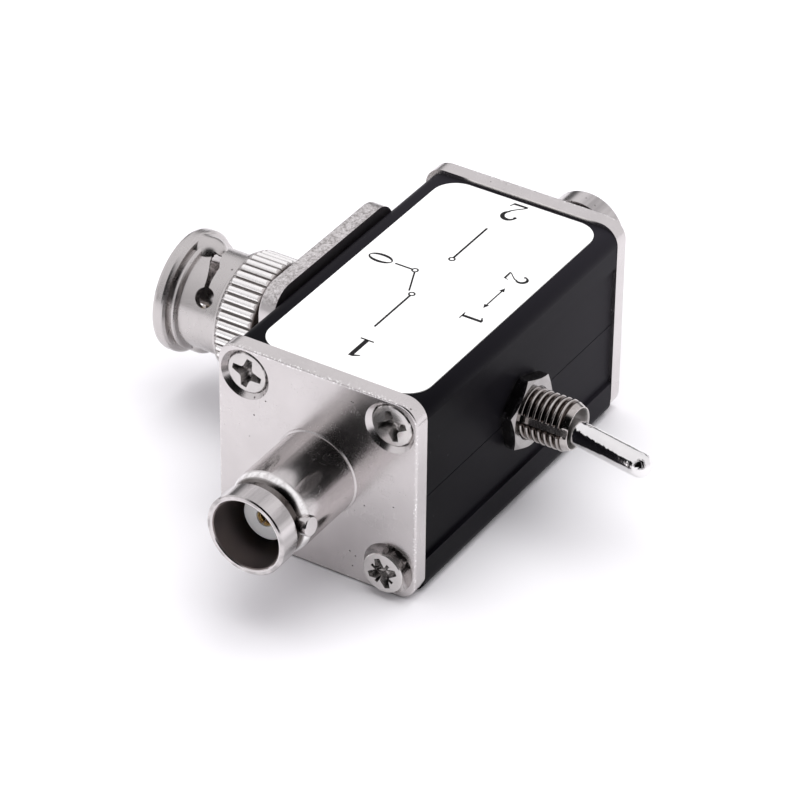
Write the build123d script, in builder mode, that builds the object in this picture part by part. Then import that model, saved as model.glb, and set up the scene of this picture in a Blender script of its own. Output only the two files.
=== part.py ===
from build123d import *
import os
from math import sin, cos, radians, pi

os.makedirs("parts", exist_ok=True)

# ---------------------------------------------------------------------------
# Two-way coaxial antenna switch.
# Frame: origin on the surface it stands on, under the crossing of the two
# connector axes.  +Z up (label on top), the two sockets look along -X (1) and
# +X (2), the plug looks along +Y and the toggle along -Y.  Millimetres.
# ---------------------------------------------------------------------------

# end plates and sockets
PLATE = 25.0            # square end plate of a socket
PLATE_T = 2.0           # its thickness
PLATE_R = 2.4           # its corner radius
PITCH = 18.2            # square of the fixing screws
AX_Z = PLATE / 2        # height of all connector axes

# extruded case, cut along its middle in two shells
CASE_L = 40.0
CASE_W = 24.4
CASE_R = 1.7
CASE_CY = -0.25         # the section sits a little off the plates' centre
CASE_CZ = AX_Z - 0.3
CASE_WALL = 1.7
RECESS = 0.4            # shallow flutes along both sides
RECESS_H = 15.5
BOSS_R = 2.5            # screw ports in the corners
SCREW_R = 1.25          # M2.5

# BNC socket
BARREL_R = 5.0
FRONT_R = 4.83
MOUTH_R = 4.07
GROOVE_R = 4.36
JACK_L = 13.75          # from plate face to mouth
LUG_R = 1.15
LUG_TIP = 5.62
LUG_X = 9.45            # lug centre from the plate face
LUG_A = 8.0             # lug angle above -Y
POST_R = 2.65
POST_IN = 3.67          # post face behind the mouth

# BNC plug
FLANGE_W = 24.4
FLANGE_H = 25.0
FLANGE_R = 3.2
FLANGE_Y = CASE_CY + CASE_W / 2     # flange lies on the case side
FLANGE_T = 2.0
NUT_Y0 = 18.75          # rear face of the coupling nut
NUT_Y1 = 31.75          # its front rim
NUT_BORE = 4.9
NUT_BARREL = 5.95
NUT_RIM = 7.2
KNURLS = 42
CAM_A = 100.0           # lug channels, above -X
BACK_R = 2.2            # rounded back of a lug channel
BACK_AT = 4.92          # its centre from the axis
BACK_Y = 29.1
DETENT_A = 35.0         # detent holes, above -X

# toggle
PANEL_Y = CASE_CY - CASE_W / 2 + RECESS
INNER_Y = CASE_CY - CASE_W / 2 + CASE_WALL
BUSH_R = 2.95           # M6 bushing
BUSH_Y = -19.4          # its mouth
PIVOT_Y = -16.5
LEVER_R = 1.42
LEVER_L = 12.0          # pivot to the centre of the rounded tip
LEVER_TILT = 10.6       # throw to either side
NUT_AF = 8.0
NUT_T = 1.55
LOCK_T = 0.25
ROCK_PIVOT = -6.1
ROCK_TILT = 9.5

AXIS_X = Axis((0, 0, AX_Z), (1, 0, 0))
AXIS_Y = Axis((0, 0, AX_Z), (0, 1, 0))
ALONG_X = Plane(origin=(0, 0, AX_Z), x_dir=(1, 0, 0), z_dir=(0, -1, 0))
ALONG_Y = Plane(origin=(0, 0, AX_Z), x_dir=(0, 1, 0), z_dir=(1, 0, 0))


def across_y(y):
    """plane across the Y axis at y, x_dir along -X, y_dir up, so that an
    angle in it is the angle above -X"""
    return Plane(origin=(0, y, AX_Z), x_dir=(-1, 0, 0), z_dir=(0, 1, 0))


def half_section(plane, points):
    """closed outline on a plane whose x runs along the axis and y is radius"""
    with BuildSketch(plane) as outline:
        with BuildLine():
            Polyline(*points, close=True)
        make_face()
    return outline.sketch


def write(piece, name):
    piece.part.label = name
    export_step(piece.part, f"parts/{name}.step")


# ---------------------------------------------------------------------------
# case shells
# ---------------------------------------------------------------------------
side_in_p = CASE_CY + CASE_W / 2 - CASE_WALL
side_in_m = INNER_Y
seam = CASE_CZ


def shell_section(up):
    """half of the extrusion's section: wall, flutes, screw ports, seam joint"""
    with BuildSketch(Plane.YZ.offset(-CASE_L / 2)) as s:
        with Locations((CASE_CY, CASE_CZ)):
            RectangleRounded(CASE_W, CASE_W, CASE_R)
            RectangleRounded(CASE_W - 2 * CASE_WALL, CASE_W - 2 * CASE_WALL, 0.8,
                             mode=Mode.SUBTRACT)
        with Locations((0, AX_Z)):
            with GridLocations(PITCH, PITCH, 2, 2):
                Circle(BOSS_R)
        with Locations((CASE_CY - CASE_W / 2 + RECESS / 2, CASE_CZ),
                       (CASE_CY + CASE_W / 2 - RECESS / 2, CASE_CZ)):
            Rectangle(RECESS, RECESS_H, mode=Mode.SUBTRACT)
        with Locations((0, AX_Z)):
            with GridLocations(PITCH, PITCH, 2, 2):
                Circle(SCREW_R, mode=Mode.SUBTRACT)
        # keep one half
        with Locations((CASE_CY, seam + (-15 if up else 15))):
            Rectangle(40, 30, mode=Mode.SUBTRACT)
        if up:
            # rabbet for the tongue of the lower shell
            with Locations((side_in_p + 0.27, seam + 0.3), (side_in_m - 0.27, seam + 0.3)):
                Rectangle(0.56, 0.72, mode=Mode.SUBTRACT)
        else:
            with Locations((side_in_p + 0.24, seam + 0.2), (side_in_m - 0.24, seam + 0.2)):
                Rectangle(0.48, 0.8)
        # broken edge of the seam on the outside
        for face_y, inward in ((PANEL_Y, 1), (CASE_CY + CASE_W / 2 - RECESS, -1)):
            with BuildLine():
                Polyline((face_y - inward * 0.1, seam - 0.14), (face_y + inward * 0.1, seam),
                         (face_y - inward * 0.1, seam + 0.14), close=True)
            make_face(mode=Mode.SUBTRACT)
    return s.sketch


with BuildPart() as upper_case_shell:
    extrude(shell_section(True), amount=CASE_L)
    # plug spigot hole and toggle hole, half in each shell
    with BuildSketch(across_y(8.0)):
        Circle(6.0)
    extrude(amount=5, mode=Mode.SUBTRACT)
    with BuildSketch(across_y(-14.0)):
        Circle(3.05)
    extrude(amount=5, mode=Mode.SUBTRACT)
    with BuildSketch(across_y(6.0)):
        with GridLocations(PITCH, PITCH, 2, 2):
            Circle(SCREW_R)
    extrude(amount=7, mode=Mode.SUBTRACT)
write(upper_case_shell, "upper_case_shell")

with BuildPart() as lower_case_shell:
    extrude(shell_section(False), amount=CASE_L)
    with BuildSketch(across_y(8.0)):
        Circle(6.0)
    extrude(amount=5, mode=Mode.SUBTRACT)
    with BuildSketch(across_y(-14.0)):
        Circle(3.05)
    extrude(amount=5, mode=Mode.SUBTRACT)
    with BuildSketch(across_y(6.0)):
        with GridLocations(PITCH, PITCH, 2, 2):
            Circle(SCREW_R)
    extrude(amount=7, mode=Mode.SUBTRACT)
write(lower_case_shell, "lower_case_shell")

LABEL_Y0, LABEL_Y1 = -10.85, 9.4
with BuildPart() as top_label:
    with BuildSketch(Plane.XY.offset(CASE_CZ + CASE_W / 2)):
        with Locations((0, (LABEL_Y0 + LABEL_Y1) / 2)):
            RectangleRounded(39.2, LABEL_Y1 - LABEL_Y0, 3.0)
    extrude(amount=0.12)
write(top_label, "top_label")

# ---------------------------------------------------------------------------
# countersunk M2.5 screw, head up, head face at z = 0
# ---------------------------------------------------------------------------
HEAD_R = 2.45
RIM_Z = 0.18
CONE_Z = RIM_Z + HEAD_R - SCREW_R
WING = [(-1.86, -0.36), (-0.62, -0.62), (0.62, -0.62), (1.86, -0.36),
        (1.86, 0.36), (0.62, 0.62), (-0.62, 0.62), (-1.86, 0.36)]
WING_LEAN = 12
with BuildPart() as screw_form:
    with BuildSketch(Plane.XZ):
        with BuildLine():
            l1 = Line((0, 0.14), (0, -7.5))
            l2 = Polyline((0, -7.5), (SCREW_R - 0.35, -7.5), (SCREW_R, -7.1), (SCREW_R, -CONE_Z),
                          (HEAD_R, -RIM_Z), (HEAD_R, -0.06), (HEAD_R - 0.1, 0.02))
            l3 = ThreePointArc((HEAD_R - 0.1, 0.02), (HEAD_R * 0.5, 0.12), (0, 0.14))
        make_face()
    revolve(axis=Axis.Z)
    # cross recess: each wing is wider at its root, and its walls lean inwards
    for turn in (0, 90):
        with BuildSketch(Plane.XY.offset(0.2)):
            with BuildLine():
                Polyline(*[(x * cos(radians(turn)) - y * sin(radians(turn)),
                            x * sin(radians(turn)) + y * cos(radians(turn))) for x, y in WING], close=True)
            make_face()
        extrude(amount=-1.3, taper=WING_LEAN, mode=Mode.SUBTRACT)
    with BuildSketch(Plane.XY.offset(0.2)):
        Circle(1.0)
    extrude(amount=-1.75, taper=24, mode=Mode.SUBTRACT)

SINK = 0.42             # head face below the plate face when driven home


def screw_place(side, sy, sz, turn, out=0.0):
    """place of a screw in an end plate: side -1 or +1 along X"""
    x = side * (CASE_L / 2 + PLATE_T - SINK + out)
    return Plane(origin=(x, sy * PITCH / 2, AX_Z + sz * PITCH / 2),
                 x_dir=(0, cos(radians(turn)), sin(radians(turn))), z_dir=(side, 0, 0))


LOOSE = screw_place(-1, -1, -1, 68, out=1.6)    # one screw is not driven home
with BuildPart() as jack1_screws:
    with Locations(screw_place(-1, 1, 1, 13), screw_place(-1, -1, 1, 74),
                   screw_place(-1, 1, -1, 65), LOOSE):
        add(screw_form.part)
    # its recess is chewed: a second, shallower cross beside the first
    for turn in (38, 128):
        with BuildSketch(Plane(origin=LOOSE.origin + LOOSE.z_dir * 0.2, x_dir=LOOSE.x_dir, z_dir=LOOSE.z_dir)):
            Rectangle(3.1, 0.42, rotation=turn)
        extrude(amount=-0.75, taper=14, mode=Mode.SUBTRACT)
write(jack1_screws, "jack1_screws")

with BuildPart() as jack2_screws:
    with Locations(screw_place(1, 1, 1, 20), screw_place(1, -1, 1, 50),
                   screw_place(1, 1, -1, 5), screw_place(1, -1, -1, 72)):
        add(screw_form.part)
write(jack2_screws, "jack2_screws")

# ---------------------------------------------------------------------------
# BNC sockets with their end plates
# ---------------------------------------------------------------------------
F = -(CASE_L / 2 + PLATE_T)         # outer face of the near plate
M = F - JACK_L                      # mouth of the near socket
with BuildPart() as jack1_body:
    with BuildSketch(Plane.YZ.offset(F)):
        with Locations((0, AX_Z)):
            RectangleRounded(PLATE, PLATE, PLATE_R)
    extrude(amount=PLATE_T)
    fillet(jack1_body.edges().group_by(Axis.X)[0], 0.22)
    with BuildSketch(ALONG_X):
        with BuildLine():
            Polyline((F + 3.5, 0), (F + 3.5, 5.6), (F + 1.5, 5.6), (F + 1.5, 5.2),
                     (F - 0.22, 5.2), (F - 0.3, BARREL_R), (F - 8.62, BARREL_R))
            Line((F - 8.62, BARREL_R), (F - 8.76, BARREL_R - 0.06))
            ThreePointArc((F - 8.76, BARREL_R - 0.06), (F - 9.42, 4.72), (F - 9.95, GROOVE_R))
            Polyline((F - 9.95, GROOVE_R), (F - 11.05, GROOVE_R), (F - 11.15, FRONT_R),
                     (M + 0.14, FRONT_R), (M, FRONT_R - 0.14), (M, 0), (F + 3.5, 0))
        make_face()
    revolve(axis=AXIS_X)
    # bore: mouth, contact cavity, seat of the insulator
    revolve(half_section(ALONG_X, [(M - 1, 0), (M - 1, MOUTH_R + 0.2), (M, MOUTH_R + 0.2),
                                   (M + 0.2, MOUTH_R), (F - 3.5, MOUTH_R), (F - 3.5, 3.0),
                                   (F + 4, 3.0), (F + 4, 0)]),
            axis=AXIS_X, mode=Mode.SUBTRACT)
    # bayonet lugs
    for s in (1, -1):
        a = radians(LUG_A)
        with BuildSketch(Plane(origin=(F - LUG_X, -s * GROOVE_R * 0.98 * cos(a),
                                       AX_Z + s * GROOVE_R * 0.98 * sin(a)),
                               x_dir=(1, 0, 0), z_dir=(0, -s * cos(a), s * sin(a)))):
            Circle(LUG_R)
        extrude(amount=LUG_TIP - GROOVE_R * 0.98)
    # the lug ends are turned round with the barrel, with a broken edge
    fillet(jack1_body.edges().filter_by(
        lambda e: abs(e.center().X - (F - LUG_X)) < 1.3 and e.geom_type == GeomType.CIRCLE
        and abs(e.radius - LUG_R) < 0.01 and (e.arc_center - Vector(F - LUG_X, 0, AX_Z)).length > LUG_TIP - 0.05),
        0.2)
    # countersunk fixing holes
    with Locations(Plane(origin=(F, 0, AX_Z), x_dir=(0, -1, 0), z_dir=(-1, 0, 0))):
        with GridLocations(PITCH, PITCH, 2, 2):
            CounterSinkHole(radius=SCREW_R + 0.06, counter_sink_radius=3.05,
                            depth=PLATE_T, counter_sink_angle=90)
write(jack1_body, "jack1_body")

with BuildPart() as jack2_body:
    mirror(jack1_body.part, about=Plane.YZ)
write(jack2_body, "jack2_body")

with BuildPart() as jack1_insulator:
    revolve(half_section(ALONG_X, [(M + POST_IN, 1.02), (M + POST_IN, POST_R - 0.12), (M + POST_IN + 0.12, POST_R),
                                   (F - 5.0, POST_R), (F - 5.0, MOUTH_R), (F - 3.5, MOUTH_R),
                                   (F - 3.5, 3.0), (F + 4.1, 3.0), (F + 4.1, 1.0), (F - 8.6, 1.0),
                                   (F - 8.6, 1.02)]),
            axis=AXIS_X)
write(jack1_insulator, "jack1_insulator")

with BuildPart() as jack2_insulator:
    mirror(jack1_insulator.part, about=Plane.YZ)
write(jack2_insulator, "jack2_insulator")

TAIL = 15.0             # |x| of a socket contact's rear end
with BuildPart() as jack1_contact:
    revolve(half_section(ALONG_X, [(M + POST_IN + 0.3, 0.74), (M + POST_IN + 0.16, 0.86), (M + POST_IN + 0.16, 0.94),
                                   (F - 8.6, 0.94), (F - 8.6, 1.0), (F + 4.1, 1.0),
                                   (F + 4.1, 0.9), (-TAIL, 0.9), (-TAIL, 0), (M + 10.0, 0),
                                   (M + 9.7, 0.7), (M + POST_IN + 0.3, 0.7)]),
            axis=AXIS_X)
    # two crossed slots make the four springs of the contact
    for turn in (0, 90):
        with BuildSketch(Plane(origin=(M + POST_IN, 0, AX_Z), x_dir=(0, 1, 0), z_dir=(1, 0, 0))):
            Rectangle(3, 0.22, rotation=turn + 20)
        extrude(amount=4.2, mode=Mode.SUBTRACT)
write(jack1_contact, "jack1_contact")

with BuildPart() as jack2_contact:
    mirror(jack1_contact.part, about=Plane.YZ)
write(jack2_contact, "jack2_contact")

# ---------------------------------------------------------------------------
# BNC plug on the +Y side
# ---------------------------------------------------------------------------
FY = FLANGE_Y
FO = FLANGE_Y + FLANGE_T            # outer face of the flange
SPIGOT_Y = FY - 1.75
SLEEVE_Y = 30.9
SLEEVE_R = 4.03
LAND_R = 4.26           # land behind the sleeve, under ring and gasket
with BuildPart() as plug_body:
    with BuildSketch(across_y(FY)):
        RectangleRounded(FLANGE_W, FLANGE_H, FLANGE_R)
    extrude(amount=FLANGE_T)
    fillet(plug_body.edges().group_by(Axis.Y)[-1], 0.22)
    revolve(half_section(ALONG_Y, [(SPIGOT_Y, 0), (SPIGOT_Y, 6.0), (FY + 1, 6.0), (FY + 1, 5.5),
                                   (NUT_Y0 - 0.1, 5.5), (NUT_Y0 - 0.1, 4.4), (22.15, 4.4), (22.15, LAND_R - 0.02),
                                   (22.8, LAND_R - 0.02), (22.8, 4.4), (23.0, 4.4), (23.0, LAND_R),
                                   (23.98, LAND_R), (23.98, SLEEVE_R), (SLEEVE_Y - 0.25, SLEEVE_R), (SLEEVE_Y, 3.85),
                                   (SLEEVE_Y, 0)]),
            axis=AXIS_Y)
    revolve(half_section(ALONG_Y, [(SLEEVE_Y + 1, 0), (SLEEVE_Y + 1, 3.45), (SLEEVE_Y, 3.45),
                                   (SLEEVE_Y - 0.1, 3.35), (22.0, 3.35), (22.0, 2.6), (9.0, 2.6), (9.0, 0)]),
            axis=AXIS_Y, mode=Mode.SUBTRACT)
    # slots of the springy outer contact
    for turn in (20, 110):
        with BuildSketch(across_y(26.6)):
            Rectangle(12, 0.4, rotation=turn)
        extrude(amount=6, mode=Mode.SUBTRACT)
    with Locations(Plane(origin=(0, FO, AX_Z), x_dir=(1, 0, 0), z_dir=(0, 1, 0))):
        with GridLocations(PITCH, PITCH, 2, 2):
            CounterSinkHole(radius=SCREW_R + 0.06, counter_sink_radius=3.05,
                            depth=FLANGE_T, counter_sink_angle=90)
write(plug_body, "plug_body")

with BuildPart() as plug_insulator:
    revolve(half_section(ALONG_Y, [(25.6, 0.685), (25.6, 3.25), (25.5, 3.35), (22.0, 3.35), (22.0, 2.6),
                                   (9.4, 2.6), (9.4, 1.05), (25.0, 1.05), (25.0, 0.685)]),
            axis=AXIS_Y)
write(plug_insulator, "plug_insulator")

with BuildPart() as plug_pin:
    with BuildSketch(ALONG_Y):
        with BuildLine():
            Polyline((29.9, 0.42), (29.2, 0.685), (25.0, 0.685), (25.0, 1.05), (9.4, 1.05),
                     (9.4, 0.9), (6.4, 0.9), (6.4, 0), (30.15, 0))
            ThreePointArc((30.15, 0), (30.08, 0.26), (29.9, 0.42))
        make_face()
    revolve(axis=AXIS_Y)
write(plug_pin, "plug_pin")

with BuildPart() as plug_screws:
    with Locations(*[Plane(origin=(sx * PITCH / 2, FO - SINK, AX_Z + sz * PITCH / 2),
                           x_dir=(cos(radians(t)), 0, sin(radians(t))), z_dir=(0, 1, 0))
                     for sx, sz, t in ((1, 1, 15), (-1, 1, 48), (1, -1, 70), (-1, -1, 33))]):
        add(screw_form.part)
    # the plug's screws are shorter, so that they stop inside the screw ports
    with BuildSketch(across_y(FO - SINK - 6.0)):
        Rectangle(40, 40)
    extrude(amount=-3, mode=Mode.SUBTRACT)
write(plug_screws, "plug_screws")

with BuildPart() as plug_gasket:
    revolve(half_section(ALONG_Y, [(23.02, LAND_R + 0.02), (23.02, 4.78), (23.8, 4.78), (23.95, 4.6), (23.95, LAND_R + 0.02)]),
            axis=AXIS_Y)
write(plug_gasket, "plug_gasket")

with BuildPart() as plug_retaining_ring:
    revolve(half_section(ALONG_Y, [(22.17, LAND_R), (22.17, 4.8), (22.78, 4.8), (22.78, LAND_R)]),
            axis=AXIS_Y)
    # open C-ring
    with BuildSketch(Plane(origin=(0, 22.0, AX_Z), x_dir=(1, 0, 0), z_dir=(0, 1, 0))):
        with Locations((0, -4.5)):
            Rectangle(1.2, 2.0)
    extrude(amount=1.0, mode=Mode.SUBTRACT)
write(plug_retaining_ring, "plug_retaining_ring")

LIP_Y = 20.0            # front face of the nut's rear lip
WASHER_T = 0.3
with BuildPart() as plug_thrust_washer:
    revolve(half_section(ALONG_Y, [(LIP_Y + 0.02, 4.47), (LIP_Y + 0.02, 4.82), (LIP_Y + 0.02 + WASHER_T, 4.82),
                                   (LIP_Y + 0.02 + WASHER_T, 4.47)]),
            axis=AXIS_Y)
write(plug_thrust_washer, "plug_thrust_washer")

# wave spring: a thin band that steps from side to side six times
W0, W1 = LIP_Y + 0.04 + WASHER_T, 22.13
with BuildPart() as plug_wave_spring:
    revolve(half_section(ALONG_Y, [(W0, 4.5), (W0, 4.78), (W1, 4.78), (W1, 4.5)]),
            axis=AXIS_Y)
    with BuildSketch(across_y(W0 - 0.1)):
        with PolarLocations(4.64, 3, start_angle=0):
            Rectangle(1.2, 3.2)
    extrude(amount=0.1 + (W1 - W0) - 0.35, mode=Mode.SUBTRACT)
    with BuildSketch(across_y(W1 + 0.1)):
        with PolarLocations(4.64, 3, start_angle=60):
            Rectangle(1.2, 3.2)
    extrude(amount=-(0.1 + (W1 - W0) - 0.35), mode=Mode.SUBTRACT)
write(plug_wave_spring, "plug_wave_spring")

# coupling nut -----------------------------------------------------------------


def radial(angle, y):
    """plane on the Y axis at y that looks outwards at an angle above -X"""
    a = radians(angle)
    return Plane(origin=(0, y, AX_Z), x_dir=(0, 1, 0), z_dir=(-cos(a), 0, sin(a)))


# path of a lug inside the nut: angle above -X and y
LUG_PATH = [(35, 26.0), (40, 26.06), (45, 26.14), (50, 26.24), (55, 26.34), (60, 26.43), (65, 26.52),
            (70, 26.62), (75, 26.75), (80, 26.9), (85, 27.05), (90, 27.2), (95, 27.35), (100, 27.5)]
# outline of the window that the cam slot breaks through the wall
WINDOW = [(42, 26.45), (48, 26.55), (53.5, 26.63), (60, 26.8), (68, 27.1), (76, 27.55), (84, 27.85), (91, 27.8),
          (91, 26.95), (82, 26.65), (77, 26.3), (73, 26.05), (66, 26.0), (55.4, 26.02), (48, 25.95), (42, 25.9)]

# groove for one lug inside the wall, not deeper than the wall's outer skin
with BuildPart() as cam_groove:
    for mid, lo, hi in ((51.0, 35, 70), (84.0, 65, 100)):
        run = [(ang, y) for ang, y in LUG_PATH if lo <= ang <= hi]
        edge = [(y + 1.18, -5.8 * sin(radians(ang - mid))) for ang, y in run]
        edge += [(y - 1.18, -5.8 * sin(radians(ang - mid))) for ang, y in reversed(run)]
        with BuildSketch(radial(mid, 0)):
            with BuildLine():
                Polyline(*edge, close=True)
            make_face()
        extrude(amount=9)
    with BuildSketch(across_y(20)):
        Circle(5.7)
    extrude(amount=12, mode=Mode.INTERSECT)

with BuildPart() as coupling_nut:
    # straight-knurled band
    with BuildSketch(across_y(NUT_Y0)):
        Circle(6.85)
        with PolarLocations(6.75, KNURLS):
            Circle(0.45)
    extrude(amount=4.85)
    revolve(half_section(ALONG_Y, [(NUT_Y0, 0), (NUT_Y0, 6.75), (NUT_Y0 + 0.4, 7.2), (NUT_Y0 + 4.35, 7.2),
                                   (NUT_Y0 + 4.85, 6.75), (NUT_Y0 + 4.85, 0)]),
            axis=AXIS_Y, mode=Mode.INTERSECT)
    # bevel, barrel, bead and front rim
    revolve(half_section(ALONG_Y, [(NUT_Y0 + 4.6, 0), (NUT_Y0 + 4.6, 6.95), (NUT_Y0 + 4.95, 6.85),
                                   (NUT_Y0 + 5.5, NUT_BARREL), (28.95, NUT_BARREL), (29.1, 6.35),
                                   (29.25, 6.5), (29.5, 6.5), (29.62, 6.25), (29.95, 6.25), (30.05, 6.9),
                                   (30.3, 7.15), (30.55, NUT_RIM), (31.3, NUT_RIM), (31.6, 7.1),
                                   (NUT_Y1, 6.85), (NUT_Y1, 0)]),
            axis=AXIS_Y)
    # raised backs of the two lug channels
    for turn in (0, 180):
        a = radians(CAM_A + turn)
        with BuildSketch(across_y(BACK_Y)):
            with Locations((BACK_AT * cos(a), BACK_AT * sin(a))):
                Circle(BACK_R)
        extrude(amount=30.4 - BACK_Y)
        with Locations((-BACK_AT * cos(a), BACK_Y, AX_Z + BACK_AT * sin(a))):
            Sphere(BACK_R)
    # bore with its rear lip
    revolve(half_section(ALONG_Y, [(NUT_Y0 - 1, 0), (NUT_Y0 - 1, 4.47), (LIP_Y, 4.47), (LIP_Y, NUT_BORE),
                                   (NUT_Y1 - 0.25, NUT_BORE), (NUT_Y1, NUT_BORE + 0.25),
                                   (NUT_Y1 + 1, NUT_BORE + 0.25), (NUT_Y1 + 1, 0)]),
            axis=AXIS_Y, mode=Mode.SUBTRACT)
    for turn in (0, 180):
        # channel from the rim to the slot
        with BuildSketch(radial(CAM_A + turn, 0)):
            with Locations(((27.5 + NUT_Y1 + 1) / 2, 0)):
                Rectangle(NUT_Y1 + 1 - 27.5, 2.4)
        extrude(amount=5.75, mode=Mode.SUBTRACT)
        # cam groove inside the wall
        add(cam_groove.part.rotate(AXIS_Y, turn), mode=Mode.SUBTRACT)
        # window of the cam slot and detent hole, both through the wall
        mid = 66.0
        with BuildSketch(radial(mid + turn, 0)):
            with BuildLine():
                Polyline(*[(y, -5.9 * sin(radians(ang - mid))) for ang, y in WINDOW], close=True)
            make_face()
        extrude(amount=9, mode=Mode.SUBTRACT)
        with BuildSketch(radial(DETENT_A + turn, 26.0)):
            Circle(1.2)
        extrude(amount=9, mode=Mode.SUBTRACT)
write(coupling_nut, "coupling_nut")

# ---------------------------------------------------------------------------
# toggle
# ---------------------------------------------------------------------------
BR_T = 0.8
FRAME_Y = INNER_Y + BR_T            # underside of the bracket
BASE_Y1 = FRAME_Y + 8.4             # rear face of the base
FLOOR_Y = BASE_Y1 - 3.0             # inner floor of the base
BODY_X, BODY_Z = 13.0, 7.9

with BuildPart() as toggle_frame:
    with BuildSketch(across_y(INNER_Y)):
        Rectangle(BODY_X, BODY_Z)
    extrude(amount=BR_T)
    # cheeks that hold the base
    with BuildSketch(across_y(FRAME_Y)):
        with Locations((0, BODY_Z / 2 - 0.2), (0, -BODY_Z / 2 + 0.2)):
            Rectangle(7.0, 0.4)
    extrude(amount=7.2)
    revolve(half_section(ALONG_Y, [(BUSH_Y, 0), (BUSH_Y, BUSH_R - 0.45), (BUSH_Y + 0.45, BUSH_R),
                                   (INNER_Y + 0.2, BUSH_R), (INNER_Y + 0.2, 0)]),
            axis=AXIS_Y)
    # mouth cone, ball seat, room for the foot of the lever
    revolve(half_section(ALONG_Y, [(BUSH_Y - 1, 0), (BUSH_Y - 1, 2.45), (BUSH_Y, 2.45), (BUSH_Y + 0.25, 2.3),
                                   (-18.1, 2.06), (-15.0, 2.06), (-14.8, 2.4), (FRAME_Y + 1, 2.4),
                                   (FRAME_Y + 1, 0)]),
            axis=AXIS_Y, mode=Mode.SUBTRACT)
    # keyway
    a = radians(13.0)
    with BuildSketch(across_y(BUSH_Y - 0.1)):
        with Locations(Location((BUSH_R * cos(a), BUSH_R * sin(a), 0), (0, 0, 13.0))):
            Rectangle(0.7, 1.1)
    extrude(amount=7.2, mode=Mode.SUBTRACT)
write(toggle_frame, "toggle_frame")

with BuildPart() as toggle_lock_washer:
    with BuildSketch(across_y(PANEL_Y - LOCK_T)):
        Circle(3.85)
        Circle(BUSH_R + 0.08, mode=Mode.SUBTRACT)
        with PolarLocations(3.85, 12):
            Rectangle(0.5, 0.5, rotation=20, mode=Mode.SUBTRACT)
    extrude(amount=LOCK_T)
write(toggle_lock_washer, "toggle_lock_washer")

NUT_Y = PANEL_Y - LOCK_T
with BuildPart() as toggle_nut:
    with BuildSketch(across_y(NUT_Y - NUT_T)):
        RegularPolygon(radius=NUT_AF / 2, side_count=6, major_radius=False, rotation=19)
    extrude(amount=NUT_T)
    # turned chamfers on both faces
    revolve(half_section(ALONG_Y, [(NUT_Y - NUT_T, 0), (NUT_Y - NUT_T, 4.0), (NUT_Y - NUT_T + 0.35, 4.7),
                                   (NUT_Y - 0.2, 4.7), (NUT_Y, 4.4), (NUT_Y, 0)]),
            axis=AXIS_Y, mode=Mode.INTERSECT)
    revolve(half_section(ALONG_Y, [(NUT_Y - NUT_T - 1, 0), (NUT_Y - NUT_T - 1, BUSH_R + 0.2),
                                   (NUT_Y - NUT_T, BUSH_R + 0.2), (NUT_Y - NUT_T + 0.2, BUSH_R),
                                   (NUT_Y + 1, BUSH_R), (NUT_Y + 1, 0)]),
            axis=AXIS_Y, mode=Mode.SUBTRACT)
write(toggle_nut, "toggle_nut")

with BuildPart() as toggle_base:
    with BuildSketch(across_y(FRAME_Y)):
        Rectangle(BODY_X, BODY_Z - 0.84)
    extrude(amount=BASE_Y1 - FRAME_Y)
    with BuildSketch(across_y(FRAME_Y)):
        Rectangle(BODY_X - 1.0, BODY_Z - 2.6)
    extrude(amount=FLOOR_Y - FRAME_Y, mode=Mode.SUBTRACT)
    # slots for the three solder lugs
    with BuildSketch(across_y(FLOOR_Y)):
        with Locations((-4.7, 0), (0, 0), (4.7, 0)):
            Rectangle(0.8, 2.0)
    extrude(amount=4, mode=Mode.SUBTRACT)
write(toggle_base, "toggle_base")

# lever, thrown towards -X at rest; t runs from the pivot out to the tip
tilt = radians(LEVER_TILT)
out_dir = (-sin(tilt), -cos(tilt), 0)
LEVER_PLANE = Plane(origin=(0, PIVOT_Y, AX_Z), x_dir=out_dir, z_dir=(out_dir[1], -out_dir[0], 0))
LEVER_AXIS = Axis((0, PIVOT_Y, AX_Z), out_dir)
BALL_R = 2.0
FOOT = 6.6              # stem below the pivot
with BuildPart() as toggle_lever:
    with BuildSketch(LEVER_PLANE):
        with BuildLine():
            Line((LEVER_L + LEVER_R, 0), (-FOOT, 0))
            Polyline((-FOOT, 0), (-FOOT, 0.95), (-(BALL_R ** 2 - 0.95 ** 2) ** 0.5, 0.95))
            ThreePointArc((-(BALL_R ** 2 - 0.95 ** 2) ** 0.5, 0.95), (0, BALL_R),
                          ((BALL_R ** 2 - LEVER_R ** 2) ** 0.5, LEVER_R))
            Line(((BALL_R ** 2 - LEVER_R ** 2) ** 0.5, LEVER_R), (LEVER_L, LEVER_R))
            ThreePointArc((LEVER_L, LEVER_R),
                          (LEVER_L + LEVER_R * cos(pi / 4), LEVER_R * sin(pi / 4)),
                          (LEVER_L + LEVER_R, 0))
        make_face()
    revolve(axis=LEVER_AXIS)
    # bore for plunger and spring
    revolve(half_section(LEVER_PLANE, [(-FOOT - 1, 0), (-FOOT - 1, 0.66), (-2.6, 0.66), (-2.6, 0)]),
            axis=LEVER_AXIS, mode=Mode.SUBTRACT)
write(toggle_lever, "toggle_lever")

TIP_T = 9.72            # plunger tip below the pivot
TIP_R = 0.63            # its radius, in a bore of 0.66
with BuildPart() as toggle_plunger:
    with BuildSketch(LEVER_PLANE):
        with BuildLine():
            Polyline((-TIP_T, 0), (-5.2, 0), (-5.2, TIP_R), (-TIP_T + TIP_R, TIP_R))
            ThreePointArc((-TIP_T + TIP_R, TIP_R),
                          (-TIP_T + TIP_R - TIP_R * cos(pi / 4), TIP_R * sin(pi / 4)), (-TIP_T, 0))
        make_face()
    revolve(axis=LEVER_AXIS)
write(toggle_plunger, "toggle_plunger")

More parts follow.
